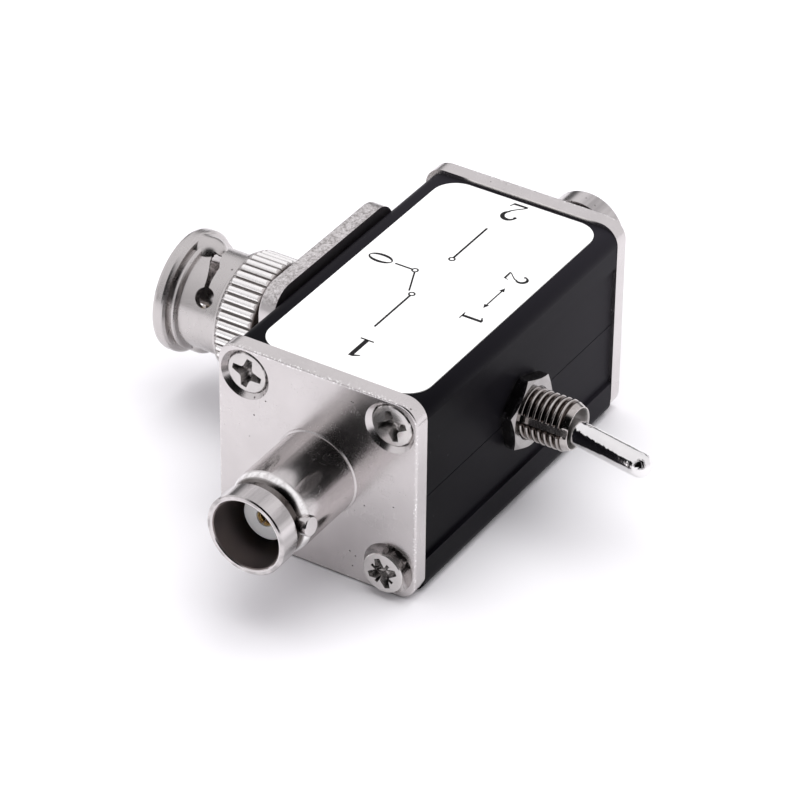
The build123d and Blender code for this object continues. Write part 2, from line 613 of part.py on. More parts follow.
# spring behind the plunger: a short stack of close coils
with BuildPart() as toggle_plunger_spring:
    revolve(half_section(LEVER_PLANE, [(-5.18, 0.32), (-5.18, 0.5), (-5.1, 0.62), (-4.95, 0.62), (-4.85, 0.5),
                                       (-4.75, 0.5), (-4.65, 0.62), (-4.5, 0.62), (-4.4, 0.5), (-4.3, 0.5),
                                       (-4.2, 0.62), (-4.05, 0.62), (-3.95, 0.5), (-3.85, 0.5), (-3.75, 0.62),
                                       (-3.6, 0.62), (-3.5, 0.5), (-3.4, 0.5), (-3.3, 0.62), (-3.15, 0.62),
                                       (-3.05, 0.5), (-2.95, 0.5), (-2.85, 0.62), (-2.7, 0.62), (-2.62, 0.5),
                                       (-2.62, 0.32)]),
            axis=LEVER_AXIS)
write(toggle_plunger_spring, "toggle_plunger_spring")

# see-saw contact, shaped like a shallow V that opens towards the lever
rock = radians(ROCK_TILT)
ROCK_PLANE = Plane(origin=(0, ROCK_PIVOT, AX_Z - 1.4), x_dir=(cos(rock), sin(rock), 0), z_dir=(0, 0, 1))
VEE = radians(15.0)
ARM = 4.9
with BuildPart() as contact_rocker:
    with BuildSketch(ROCK_PLANE):
        with BuildLine():
            Polyline((0, 0), (ARM, -ARM * sin(VEE) / cos(VEE)),
                     (ARM, -ARM * sin(VEE) / cos(VEE) - 0.4), (0, -0.4),
                     (-ARM, -ARM * sin(VEE) / cos(VEE) - 0.4), (-ARM, -ARM * sin(VEE) / cos(VEE)),
                     close=True)
        make_face()
    extrude(amount=2.8)
write(contact_rocker, "contact_rocker")

BLADE_END = BASE_Y1 + 4.1
HEAD_FLOOR = FLOOR_Y


def blade(x, top):
    """solder lug from its head at y = top through the floor of the base"""
    with BuildPart() as lug:
        with BuildSketch(across_y(HEAD_FLOOR)):
            with Locations((-x, 0)):
                Rectangle(0.8, 2.0)
        extrude(amount=BLADE_END - HEAD_FLOOR)
        with BuildSketch(Plane(origin=(x - 2, BLADE_END - 1.9, AX_Z), x_dir=(0, 1, 0), z_dir=(1, 0, 0))):
            SlotOverall(1.9, 0.9)
        extrude(amount=4, mode=Mode.SUBTRACT)
        if top < HEAD_FLOOR:
            with BuildSketch(across_y(top)):
                with Locations((-x, 0)):
                    Rectangle(1.4, 2.4)
            extrude(amount=HEAD_FLOOR - top)
    return lug.part


with BuildPart() as terminal_common:
    add(blade(0.0, HEAD_FLOOR))
    # knife edge that carries the rocker
    with BuildSketch(Plane(origin=(0, 0, AX_Z - 1.4), x_dir=(1, 0, 0), z_dir=(0, 0, 1))):
        with BuildLine():
            Polyline((-1.1, HEAD_FLOOR), (1.1, HEAD_FLOOR), (0.25, ROCK_PIVOT + 0.12),
                     (0, ROCK_PIVOT + 0.03), (-0.25, ROCK_PIVOT + 0.12), close=True)
        make_face()
    extrude(amount=2.8)
write(terminal_common, "terminal_common")

# height of a side lug under the lowered arm of the rocker
arm_x = 4.3
low = ROCK_PIVOT - arm_x * (sin(VEE) / cos(VEE)) * cos(rock) + arm_x * sin(rock) + 0.2
with BuildPart() as terminal_throw_a:
    add(blade(4.7, low))
write(terminal_throw_a, "terminal_throw_a")

with BuildPart() as terminal_throw_b:
    mirror(terminal_throw_a.part, about=Plane.YZ)
write(terminal_throw_b, "terminal_throw_b")

# ---------------------------------------------------------------------------
# internal leads, 1 mm hook-up wire, straight runs joined by tangent arcs
# ---------------------------------------------------------------------------
WIRE_R = 0.5


def lead(points, name):
    """wire along points, each arc 0.45 of the shorter run over tan(half turn)"""
    pts = [Vector(*p) for p in points]
    radii = []
    for p, q, r in zip(pts, pts[1:], pts[2:]):
        turn = (q - p).get_angle(r - q)
        run = min((q - p).length, (r - q).length)
        from_tan = sin(radians(turn / 2)) / cos(radians(turn / 2))
        radii.append(0.45 * run / from_tan)
    print(name, "radii", [round(r, 2) for r in radii],
          "turns", [round((q - p).get_angle(r - q), 1) for p, q, r in zip(pts, pts[1:], pts[2:])])
    with BuildPart() as wire:
        with BuildLine() as path:
            FilletPolyline(*pts, radius=radii)
        with BuildSketch(Plane(origin=pts[0], z_dir=(pts[1] - pts[0]).normalized())):
            Circle(WIRE_R)
        sweep(path=path.wires()[0])
    print(name, "volume / (section * length)",
          round(wire.part.volume / (pi * WIRE_R ** 2 * path.wires()[0].length), 4))
    return wire


# the lead of socket 1 goes to the lug at +X, that of socket 2 to the lug at -X,
# so that the lever points at the socket that is switched on
LEAD1 = [(-TAIL, 0, 0), (-12.6, 0, 0), (-9.9, 1.8, -2.0), (-6.8, 4.0, -3.5), (-3.2, 5.9, -4.2),
         (0.4, 6.9, -3.7), (3.2, 6.7, -2.0), (4.7, 5.6, 0), (4.7, BLADE_END, 0)]
jack1_wire = lead([(x, y, z + AX_Z) for x, y, z in LEAD1], "jack1_wire")
write(jack1_wire, "jack1_wire")
jack2_wire = lead([(-x, y, AX_Z - z) for x, y, z in LEAD1], "jack2_wire")
write(jack2_wire, "jack2_wire")

with BuildPart() as plug_wire:
    with BuildSketch(across_y(BLADE_END)):
        Circle(0.4)
    extrude(amount=6.4 - BLADE_END)
write(plug_wire, "plug_wire")

print("label top", CASE_CZ + CASE_W / 2 + 0.12, "panel", PANEL_Y, "inner", INNER_Y, "base end", BASE_Y1,
      "blade end", BLADE_END, "low", low)
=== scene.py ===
import bpy
import bmesh
import math
from mathutils import Matrix, Vector


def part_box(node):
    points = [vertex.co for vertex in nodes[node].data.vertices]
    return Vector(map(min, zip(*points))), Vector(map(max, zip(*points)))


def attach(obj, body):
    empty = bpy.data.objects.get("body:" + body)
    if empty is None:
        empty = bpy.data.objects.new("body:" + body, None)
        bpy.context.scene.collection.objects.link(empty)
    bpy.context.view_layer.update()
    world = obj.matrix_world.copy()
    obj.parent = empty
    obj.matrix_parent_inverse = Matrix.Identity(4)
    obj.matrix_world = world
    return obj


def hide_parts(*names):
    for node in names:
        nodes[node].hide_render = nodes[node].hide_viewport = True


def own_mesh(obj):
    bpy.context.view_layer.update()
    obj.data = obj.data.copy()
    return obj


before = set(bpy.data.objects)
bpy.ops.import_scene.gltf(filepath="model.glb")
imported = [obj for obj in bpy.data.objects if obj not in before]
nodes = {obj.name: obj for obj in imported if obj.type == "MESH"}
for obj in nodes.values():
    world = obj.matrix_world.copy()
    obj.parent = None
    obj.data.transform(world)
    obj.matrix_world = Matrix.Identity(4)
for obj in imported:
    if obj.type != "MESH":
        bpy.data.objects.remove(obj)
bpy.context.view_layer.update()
scene = bpy.context.scene
MM = 0.001
AX = 12.5            # height of the connector axes, mm

# ---------------------------------------------------------------------------
# camera, at the photograph's viewing angle
# ---------------------------------------------------------------------------
cam_data = bpy.data.cameras.new("camera")
cam = bpy.data.objects.new("camera", cam_data)
scene.collection.objects.link(cam)
right = Vector((0.53074413, -0.84747194, 0.01009842))
down = Vector((-0.47759929, -0.30890555, -0.82248178))
ahead = Vector((0.70014969, 0.43170438, -0.5687018))
turn = Matrix((right, -down, -ahead)).transposed().to_4x4()
cam.matrix_world = Matrix.Translation((-0.33983632, -0.2062954, 0.2838092)) @ turn
cam_data.sensor_width = 36.0
cam_data.lens = 196.73
cam_data.clip_start, cam_data.clip_end = 0.01, 50.0
scene.camera = cam

# ---------------------------------------------------------------------------
# node helpers
# ---------------------------------------------------------------------------


class Shader:
    """a material's node tree with short names for what is used here"""

    def __init__(self, name):
        self.mat = bpy.data.materials.new(name)
        self.mat.use_nodes = True
        self.t = self.mat.node_tree
        self.t.nodes.clear()
        self.out = self.t.nodes.new("ShaderNodeOutputMaterial")
        self.bsdf = self.t.nodes.new("ShaderNodeBsdfPrincipled")
        self.t.links.new(self.bsdf.outputs[0], self.out.inputs[0])
        self.coord = self.t.nodes.new("ShaderNodeTexCoord").outputs["Object"]
        self._xyz = None

    def set(self, **values):
        for key, value in values.items():
            self.bsdf.inputs[key.replace("_", " ")].default_value = value
        return self

    def link(self, a, b):
        self.t.links.new(a, b)

    def math(self, op, a, b=0.0, c=None, clamp=False):
        n = self.t.nodes.new("ShaderNodeMath")
        n.operation = op
        n.use_clamp = clamp
        for i, v in enumerate((a, b) if c is None else (a, b, c)):
            if isinstance(v, (int, float)):
                n.inputs[i].default_value = v
            else:
                self.link(v, n.inputs[i])
        return n.outputs[0]

    @property
    def xyz(self):
        if self._xyz is None:
            n = self.t.nodes.new("ShaderNodeSeparateXYZ")
            self.link(self.coord, n.inputs[0])
            self._xyz = n.outputs
        return self._xyz

    def vector(self, x, y, z):
        n = self.t.nodes.new("ShaderNodeCombineXYZ")
        for i, v in enumerate((x, y, z)):
            if isinstance(v, (int, float)):
                n.inputs[i].default_value = v
            else:
                self.link(v, n.inputs[i])
        return n.outputs[0]

    def scaled(self, sx, sy, sz, of=None):
        n = self.t.nodes.new("ShaderNodeMapping")
        n.inputs["Scale"].default_value = (sx, sy, sz)
        self.link(of or self.coord, n.inputs[0])
        return n.outputs[0]

    def noise(self, scale, detail=3.0, rough=0.55, of=None, distort=0.0):
        n = self.t.nodes.new("ShaderNodeTexNoise")
        n.inputs["Scale"].default_value = scale
        n.inputs["Detail"].default_value = detail
        n.inputs["Roughness"].default_value = rough
        n.inputs["Distortion"].default_value = distort
        self.link(of or self.coord, n.inputs["Vector"])
        return n.outputs["Fac"]

    def cells(self, scale, of=None, feature="F1"):
        n = self.t.nodes.new("ShaderNodeTexVoronoi")
        n.feature = feature
        n.inputs["Scale"].default_value = scale
        self.link(of or self.coord, n.inputs["Vector"])
        return n.outputs["Distance"]

    def span(self, v, lo, hi, to_lo=0.0, to_hi=1.0, smooth=False):
        n = self.t.nodes.new("ShaderNodeMapRange")
        n.interpolation_type = "SMOOTHSTEP" if smooth else "LINEAR"
        self.link(v, n.inputs["Value"])
        n.inputs["From Min"].default_value = lo
        n.inputs["From Max"].default_value = hi
        n.inputs["To Min"].default_value = to_lo
        n.inputs["To Max"].default_value = to_hi
        return n.outputs["Result"]

    def mix(self, fac, a, b):
        """mix of two colours, each a tuple or an output"""
        n = self.t.nodes.new("ShaderNodeMix")
        n.data_type = "RGBA"
        if isinstance(fac, (int, float)):
            n.inputs["Factor"].default_value = fac
        else:
            self.link(fac, n.inputs["Factor"])
        for key, v in (("A", a), ("B", b)):
            socket = [s for s in n.inputs if s.name == key and s.type == "RGBA"][0]
            if isinstance(v, tuple):
                socket.default_value = (*v, 1.0)
            else:
                self.link(v, socket)
        return [s for s in n.outputs if s.type == "RGBA"][0]

    def blend(self, fac, a, b):
        """mix of two numbers"""
        return self.math("ADD", self.math("MULTIPLY", a, self.math("SUBTRACT", 1.0, fac)),
                         self.math("MULTIPLY", b, fac))

    def bump(self, height, distance, strength=1.0, after=None):
        n = self.t.nodes.new("ShaderNodeBump")
        n.inputs["Strength"].default_value = strength
        n.inputs["Distance"].default_value = distance
        self.link(height, n.inputs["Height"])
        if after is not None:
            self.link(after, n.inputs["Normal"])
        return n.outputs[0]

    def color(self, v):
        self.link(v, self.bsdf.inputs["Base Color"])

    def rough(self, v):
        self.link(v, self.bsdf.inputs["Roughness"])

    def normal(self, v):
        self.link(v, self.bsdf.inputs["Normal"])

    def radius_x(self):
        """distance from the sockets' axis, in metres"""
        y, z = self.xyz[1], self.math("SUBTRACT", self.xyz[2], AX * MM)
        return self.math("SQRT", self.math("ADD", self.math("MULTIPLY", y, y), self.math("MULTIPLY", z, z)))

    def radius_y(self):
        """distance from the plug's and the toggle's axis, in metres"""
        x, z = self.xyz[0], self.math("SUBTRACT", self.xyz[2], AX * MM)
        return self.math("SQRT", self.math("ADD", self.math("MULTIPLY", x, x), self.math("MULTIPLY", z, z)))


# ---------------------------------------------------------------------------
# materials
# ---------------------------------------------------------------------------


def specks(s, scale, size, seed=(0.0, 0.0, 0.0)):
    """sparse dark pits in a plating: 1 inside a pit"""
    moved = s.t.nodes.new("ShaderNodeMapping")
    moved.inputs["Location"].default_value = seed
    s.link(s.coord, moved.inputs[0])
    d = s.cells(scale, of=moved.outputs[0])
    many = s.math("GREATER_THAN", s.noise(scale * 0.11, 2.0, of=moved.outputs[0]), 0.60)
    return s.math("MULTIPLY", s.math("LESS_THAN", d, size), many)


def scratches(s, scale, stretch, width=0.035):
    """fine crossing hairlines: 1 on a line"""
    a = s.noise(scale, 1.0, of=s.scaled(1.0, stretch, 1.0), distort=0.6)
    b = s.noise(scale * 1.3, 1.0, of=s.scaled(stretch, 1.0, stretch * 0.6), distort=0.5)
    la = s.math("LESS_THAN", s.math("ABSOLUTE", s.math("SUBTRACT", a, 0.5)), width * 0.1)
    lb = s.math("LESS_THAN", s.math("ABSOLUTE", s.math("SUBTRACT", b, 0.47)), width * 0.08)
    rare = s.math("GREATER_THAN", s.noise(scale * 0.5, 2.0), 0.56)
    return s.math("MULTIPLY", s.math("MAXIMUM", la, lb), rare)


def nickel(name, base=(0.66, 0.63, 0.625), flat=0.215, turned=0.165, axis="x", start=None, grain=0.5,
           bore=None, groove=None, plate_edge_glints_and_shadow=False, burr=None,
           neck=None):
    """Nickel plating: satin flats, brighter turned barrels with fine rings across the
    axis, faint smudges, a few pits and hairlines."""
    s = Shader(name)
    s.set(Metallic=1.0)
    smudge = s.noise(260.0, 4.0, 0.6, distort=0.4)
    fine = s.noise(5200.0, 2.0, 0.6)
    pits = specks(s, 900.0, 0.11)
    hair = scratches(s, 420.0, 7.0)
    if axis == "x":
        r, along = s.radius_x(), s.math("ABSOLUTE", s.xyz[0])
    else:
        r, along = s.radius_y(), s.math("ABSOLUTE", s.xyz[1])
    rings = s.noise(1.0, 3.0, 0.7, of=s.vector(s.math("MULTIPLY", along, 9500.0), s.math("MULTIPLY", r, 900.0), 0.0))
    if start is None:
        on_barrel = None
    else:
        on_barrel = s.math("MULTIPLY", s.math("GREATER_THAN", along, start * MM),
                           s.math("LESS_THAN", r, 7.6 * MM))
    tone = s.span(smudge, 0.3, 0.75)
    cool = tuple(c * 0.93 for c in base)
    colour = s.mix(tone, cool, base)
    haze = s.span(s.noise(190.0, 5.0, 0.65), 0.42, 0.62)
    colour = s.mix(s.math("MULTIPLY", haze, 0.10), colour, tuple(c * 0.55 for c in base))
    colour = s.mix(s.math("MULTIPLY", pits, 0.75), colour, (0.10, 0.09, 0.085))
    if burr is not None:
        # sawn top edge: coarse bright and dark flecks
        height, y0, y1 = burr
        way = s.t.nodes.new("ShaderNodeSeparateXYZ")
        s.link(s.t.nodes.new("ShaderNodeNewGeometry").outputs["Normal"], way.inputs[0])
        up = s.math("MULTIPLY", s.math("GREATER_THAN", s.xyz[2], height * MM), s.span(way.outputs[2], 0.4, 0.7))
        here = s.math("MULTIPLY", up, s.math("MULTIPLY", s.math("GREATER_THAN", along, y0 * MM),
                                             s.math("LESS_THAN", along, y1 * MM)))
        fleck = s.noise(2900.0, 3.0, 0.75)
        colour = s.mix(s.math("MULTIPLY", here, s.span(fleck, 0.52, 0.36)), colour, (0.30, 0.28, 0.27))
        colour = s.mix(s.math("MULTIPLY", here, s.span(fleck, 0.56, 0.66)), colour, (0.84, 0.82, 0.81))
    inside = None
    if bore is not None:
        # painted shade on the wall inside a mouth, which is also rougher
        reach, from_end = bore
        inside = s.math("MULTIPLY", s.math("LESS_THAN", r, reach * MM), s.math("GREATER_THAN", along, from_end * MM))
        colour = s.mix(inside, colour, (0.24, 0.205, 0.198))
    if groove is not None:
        # painted highlight on the crests of the knurling
        low, high, y0, y1 = groove
        painted_highlight = s.math("MULTIPLY", s.math("GREATER_THAN", r, high * MM),
                      s.math("MULTIPLY", s.math("GREATER_THAN", along, y0 * MM), s.math("LESS_THAN", along, y1 * MM)))
        colour = s.mix(painted_highlight, colour, (1.0, 0.985, 0.97))
        # painted shade in the valleys of the knurling
        painted_shade = s.math("MULTIPLY", s.span(r, high * MM, low * MM),
                       s.math("MULTIPLY", s.math("GREATER_THAN", along, y0 * MM), s.math("LESS_THAN", along, y1 * MM)))
        colour = s.mix(painted_shade, colour, (0.055, 0.042, 0.035))
    pock = None
    if neck is not None:
        # streaks along the turned barrel, strongest on the front ring, a painted
        # highlight on the ramp, and pock marks
        outer = s.math("GREATER_THAN", r, 4.4 * MM)
        streak = s.span(s.noise(1.0, 2.0, 0.5, of=s.scaled(30.0, 620.0, 620.0)), 0.36, 0.60, 1.0, 0.0)
        ring = s.math("GREATER_THAN", along, 33.1 * MM)
        amount = s.math("MULTIPLY", s.math("MULTIPLY", on_barrel, outer), s.math("ADD", 0.35, s.math("MULTIPLY", ring, 0.5)))
        colour = s.mix(s.math("MULTIPLY", amount, streak), colour, tuple(c * 0.52 for c in base))
        # painted highlight on the ramp
        ramp = s.math("MULTIPLY", s.span(along, 30.66 * MM, 30.95 * MM), s.span(along, 31.3 * MM, 31.7 * MM, 1.0, 0.0))
        ramp = s.math("MULTIPLY", s.math("MULTIPLY", ramp, s.math("GREATER_THAN", r, 4.5 * MM)),
                      s.math("LESS_THAN", r, 4.985 * MM))
        painted_highlight = s.span(s.noise(1.0, 3.0, 0.6, of=s.scaled(300.0, 900.0, 900.0)), 0.40, 0.58, 0.15, 0.9)
        colour = s.mix(s.math("MULTIPLY", ramp, painted_highlight), colour, (1.0, 0.985, 0.975))
        pock = s.math("MULTIPLY", specks(s, 1500.0, 0.13, (0.7, 0.2, 0.4)), s.math("MULTIPLY", on_barrel, outer))
        # painted shade in the groove behind the lugs
        reach, x0, x1 = neck
        painted_shade = s.math("MULTIPLY", s.math("GREATER_THAN", r, 4.22 * MM), s.span(r, reach * MM, (reach - 0.25) * MM))
        painted_shade = s.math("MULTIPLY", painted_shade, s.math("MULTIPLY", s.math("GREATER_THAN", along, x0 * MM), s.math("LESS_THAN", along, x1 * MM)))
        colour = s.mix(s.math("MULTIPLY", painted_shade, s.span(smudge, 0.25, 0.6, 0.75, 1.0)), colour, (0.09, 0.078, 0.072))
    if plate_edge_glints_and_shadow:
        # burr left on the sheared edges of the plate, its flecks painted bright as glints
        upper = s.math("GREATER_THAN", s.math("MAXIMUM", s.math("ABSOLUTE", s.xyz[1]),
                                              s.math("ABSOLUTE", s.math("SUBTRACT", s.xyz[2], AX * MM))), 12.15 * MM)
        rare = s.math("ADD", s.span(along, 21.6 * MM, 21.9 * MM, 0.05, 0.0),
                      s.span(s.xyz[2], 24.3 * MM, 24.6 * MM, 0.045, 0.0))
        burr_glints = s.math("GREATER_THAN", s.noise(3900.0, 2.0, 0.75), s.math("ADD", rare, 0.565))
        burr_glints = s.math("MULTIPLY", s.math("MULTIPLY", burr_glints, upper), s.math("LESS_THAN", along, 22.05 * MM))
        burr_glints = s.math("MULTIPLY", burr_glints, s.span(along, 21.3 * MM, 21.85 * MM, 0.12, 1.0))
        colour = s.mix(s.math("MULTIPLY", burr_glints, 0.8), colour, (1.0, 0.99, 0.98))
        # painted contact shadow along the bottom where it stands
        low = s.span(s.xyz[2], 0.1 * MM, 0.3 * MM, 1.0, 0.0)
        colour = s.mix(s.math("MULTIPLY", low, s.math("LESS_THAN", along, 22.05 * MM)), colour, (0.07, 0.062, 0.06))
    s.color(colour)
    if on_barrel is None:
        rough = s.math("ADD", flat - 0.03, s.math("MULTIPLY", smudge, 0.07))
        height = s.math("MULTIPLY", fine, grain)
    else:
        on_flat = s.math("ADD", flat - 0.03, s.math("MULTIPLY", smudge, 0.08))
        on_turn = s.math("ADD", turned - 0.03, s.math("MULTIPLY", smudge, 0.06))
        rough = s.blend(on_barrel, on_flat, on_turn)
        height = s.blend(on_barrel, s.math("MULTIPLY", fine, grain), s.math("MULTIPLY", rings, 0.55))
    rough = s.math("ADD", rough, s.math("MULTIPLY", hair, 0.12))
    if inside is not None:
        rough = s.blend(inside, rough, 0.5)
    rough = s.math("ADD", rough, s.math("MULTIPLY", pits, 0.3))
    s.rough(rough)
    height = s.math("SUBTRACT", height, s.math("MULTIPLY", pits, 2.0))
    if pock is not None:
        height = s.math("SUBTRACT", height, s.math("MULTIPLY", pock, 5.0))
    height = s.math("SUBTRACT", height, s.math("MULTIPLY", hair, 0.5))
    wide = s.bump(s.noise(95.0, 2.0), 0.00006, 0.10)
    s.normal(s.bump(height, 0.000004, 0.55, after=wide))
    return s.mat


def anodised(name):
    """Black anodised extrusion: satin, with fine die lines along it, and a painted sheen
    that greys it towards the far end."""
    s = Shader(name)
    s.set(Metallic=0.0, Specular_IOR_Level=0.03, IOR=1.5)
    lines = s.noise(1.0, 3.0, 0.7, of=s.scaled(60.0, 5200.0, 5200.0))
    broad = s.noise(70.0, 3.0, 0.5)
    dust = specks(s, 700.0, 0.07, (0.3, 0.1, 0.2))
    # painted sheen: the colour turns greyer towards the far end
    painted_far_sheen = s.span(s.xyz[0], -20.0 * MM, 21.0 * MM)
    colour = s.mix(s.span(broad, 0.3, 0.7), (0.0020, 0.0018, 0.0028), (0.0033, 0.0030, 0.0045))
    colour = s.mix(painted_far_sheen, colour, (0.0185, 0.0172, 0.0215))
    colour = s.mix(s.math("MULTIPLY", dust, 0.25), colour, (0.10, 0.10, 0.11))
    s.color(colour)
    rough = s.math("ADD", 0.34, s.math("MULTIPLY", lines, 0.07))
    s.rough(s.math("ADD", rough, s.math("MULTIPLY", broad, 0.05)))
    fine = s.noise(7000.0, 2.0, 0.6)
    s.normal(s.bump(s.math("ADD", lines, s.math("MULTIPLY", fine, 0.6)), 0.000006, 0.5))
    return s.mat


def film(name):
    """White vinyl label: faint orange peel, clean face, greyer where it is cut."""
    s = Shader(name)
    s.set(Specular_IOR_Level=0.45)
    cloud = s.noise(120.0, 3.0)
    grain = s.noise(2600.0, 2.0)
    upright = s.t.nodes.new("ShaderNodeNewGeometry")
    up = s.t.nodes.new("ShaderNodeSeparateXYZ")
    s.link(upright.outputs["Normal"], up.inputs[0])
    face = s.math("GREATER_THAN", up.outputs[2], 0.6)
    colour = s.mix(s.span(cloud, 0.3, 0.7), (0.865, 0.865, 0.855), (0.89, 0.89, 0.88))
    s.color(s.mix(face, (0.45, 0.45, 0.44), colour))
    s.rough(s.math("ADD", 0.34, s.math("MULTIPLY", cloud, 0.1)))
    s.normal(s.bump(s.math("ADD", grain, s.math("MULTIPLY", cloud, 1.5)), 0.00001, 0.25))
    return s.mat


def plastic(name, base, rough=0.42, vary=0.08, grain=3500.0, depth=0.000008, sub=0.0,
            gloss=0.45):
    """Moulded or turned plastic: small colour variation and a fine grain."""
    s = Shader(name)
    s.set(Specular_IOR_Level=gloss)
    if sub:
        s.set(Subsurface_Weight=sub, Subsurface_Scale=0.001)
        s.bsdf.inputs["Subsurface Radius"].default_value = (1.0, 0.9, 0.8)
    cloud = s.noise(350.0, 3.0)
    fine = s.noise(grain, 2.0)
    s.color(s.mix(s.span(cloud, 0.3, 0.7), tuple(c * (1 - vary) for c in base), base))
    s.rough(s.math("ADD", rough - 0.04, s.math("MULTIPLY", fine, 0.1)))
    s.normal(s.bump(fine, depth, 0.4))
    return s.mat


def plated(name, base, rough=0.2, wave=0.05, pits=True, fine_depth=0.000003, ripple=0.0, uneven_end=None):
    """Bright plated metal with faint waviness."""
    s = Shader(name)
    s.set(Metallic=1.0)
    cloud = s.noise(420.0, 3.0)
    fine = s.noise(6000.0, 2.0)
    colour = s.mix(s.span(cloud, 0.3, 0.7), tuple(c * 0.93 for c in base), base)
    if pits:
        p = specks(s, 1100.0, 0.09, (0.1, 0.4, 0.7))
        colour = s.mix(s.math("MULTIPLY", p, 0.6), colour, tuple(c * 0.25 for c in base))
        s.rough(s.math("ADD", s.math("ADD", rough - 0.02, s.math("MULTIPLY", cloud, 0.05)),
                       s.math("MULTIPLY", p, 0.2)))
    else:
        s.rough(s.math("ADD", rough - 0.02, s.math("MULTIPLY", cloud, 0.05)))
    s.color(colour)
    wide = s.bump(s.noise(240.0, 2.0), 0.00005, wave)
    if ripple:
        wide = s.bump(s.noise(900.0, 2.5, 0.6), 0.00005, ripple, after=wide)
    if uneven_end:
        # the round end is polished less evenly than the shank
        y, depth, scale = uneven_end
        lumps = s.math("MULTIPLY", s.math("SUBTRACT", s.noise(scale, 2.0, 0.6), 0.5),
                       s.span(s.xyz[1], (y - 0.3) * MM, (y + 0.3) * MM, 1.0, 0.0))
        wide = s.bump(lumps, depth, 1.0, after=wide)
    s.normal(s.bump(fine, fine_depth, 0.4, after=wide))
    return s.mat


def screw_metal(name):
    """Plated screws: bright head with a milky bloom, painted shade in the recess with painted glints."""
    s = Shader(name)
    s.set(Metallic=0.82)
    cloud = s.noise(420.0, 3.0)
    hidden = s.t.nodes.new("ShaderNodeAmbientOcclusion")
    hidden.samples = 6
    hidden.inputs["Distance"].default_value = 0.9 * MM
    # painted shade: where ambient occlusion finds a recess the colour turns dark, with painted glints
    open_sky = s.span(hidden.outputs["AO"], 0.45, 0.9)
    colour = s.mix(s.span(cloud, 0.3, 0.7), (0.60, 0.58, 0.57), (0.68, 0.655, 0.64))
    glint = s.span(s.noise(1300.0, 2.0, 0.6), 0.50, 0.56)
    colour = s.mix(open_sky, s.mix(glint, (0.10, 0.093, 0.09), (0.74, 0.72, 0.71)), colour)
    pits = specks(s, 1100.0, 0.1, (0.1, 0.4, 0.7))
    s.color(s.mix(s.math("MULTIPLY", pits, 0.6), colour, (0.12, 0.11, 0.10)))
    s.rough(s.math("ADD", 0.13, s.math("MULTIPLY", cloud, 0.07)))
    wide = s.bump(s.noise(700.0, 2.0), 0.00004, 0.16)
    s.normal(s.bump(s.noise(6000.0, 2.0), 0.000003, 0.4, after=wide))
    return s.mat


def bushing_metal(name):
    """Rolled thread: bright crests, painted shade in the roots, paler bore."""
    s = Shader(name)
    s.set(Metallic=1.0)
    r = s.radius_y()
    cloud = s.noise(900.0, 3.0)
    colour = s.mix(s.span(cloud, 0.3, 0.7), (0.42, 0.39, 0.372), (0.60, 0.57, 0.55))
    # painted shade in the roots of the thread
    painted_root_shade = s.math("MULTIPLY", s.span(r, 2.94 * MM, 2.79 * MM), s.math("GREATER_THAN", r, 2.48 * MM))
    painted_root_shade = s.math("MULTIPLY", painted_root_shade, s.math("GREATER_THAN", s.xyz[1], -18.72 * MM))
    colour = s.mix(painted_root_shade, colour, (0.085, 0.068, 0.060))
    bore = s.math("LESS_THAN", r, 2.42 * MM)
    colour = s.mix(bore, colour, (0.62, 0.60, 0.585))
    s.color(colour)
    s.rough(s.blend(bore, s.math("ADD", 0.13, s.math("MULTIPLY", cloud, 0.08)), 0.42))
    s.normal(s.bump(s.noise(2600.0, 2.0), 0.000008, 0.5))
    return s.mat


def nut_metal(name):
    """Hex nut: pale faced ends, flanks darkened by painted shade, painted highlights on nicked corners and the front
    rim.
    """
    s = Shader(name)
    s.set(Metallic=1.0)
    cloud = s.noise(500.0, 3.0)
    way = s.t.nodes.new("ShaderNodeSeparateXYZ")
    s.link(s.t.nodes.new("ShaderNodeNewGeometry").outputs["Normal"], way.inputs[0])
    # painted shade: the flanks take a darker copy of the nut's colour
    flank = s.span(s.math("ABSOLUTE", way.outputs[1]), 0.75, 0.45)
    pale = s.mix(s.span(cloud, 0.3, 0.7), (0.32, 0.307, 0.30), (0.41, 0.395, 0.388))
    dark = s.mix(s.span(cloud, 0.35, 0.65), (0.085, 0.08, 0.08), (0.20, 0.19, 0.185))
    # nicks on the corners, painted bright as glints
    nick_glints = s.math("GREATER_THAN", s.noise(2600.0, 2.0, 0.7), 0.60)
    dark = s.mix(s.math("MULTIPLY", nick_glints, s.math("GREATER_THAN", s.radius_y(), 4.35 * MM)), dark, (0.7, 0.68, 0.67))
    # painted highlight in rubbed patches along the corners and the front rim
    rubbed_edge_highlight = s.span(s.noise(1500.0, 3.0, 0.7), 0.44, 0.56)
    corner = s.span(s.radius_y(), 4.46 * MM, 4.54 * MM)
    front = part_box("toggle_nut")[0][1]
    rim = s.span(s.xyz[1], front + 0.36 * MM, front + 0.56 * MM, 1.0, 0.0)
    dark = s.mix(s.math("MULTIPLY", s.math("MAXIMUM", corner, rim), rubbed_edge_highlight), dark, (0.62, 0.60, 0.59))
    s.color(s.mix(flank, pale, dark))
    s.rough(s.math("ADD", 0.17, s.math("MULTIPLY", cloud, 0.08)))
    s.normal(s.bump(s.noise(3000.0, 2.0), 0.000006, 0.5))
    return s.mat


def pale_floor(name):
    s = Shader(name)
    s.set(Specular_IOR_Level=0.25)
    s.color(s.mix(s.noise(14.0, 2.0), (0.895, 0.885, 0.91), (0.91, 0.90, 0.92)))
    s.bsdf.inputs["Roughness"].default_value = 0.55
    return s.mat


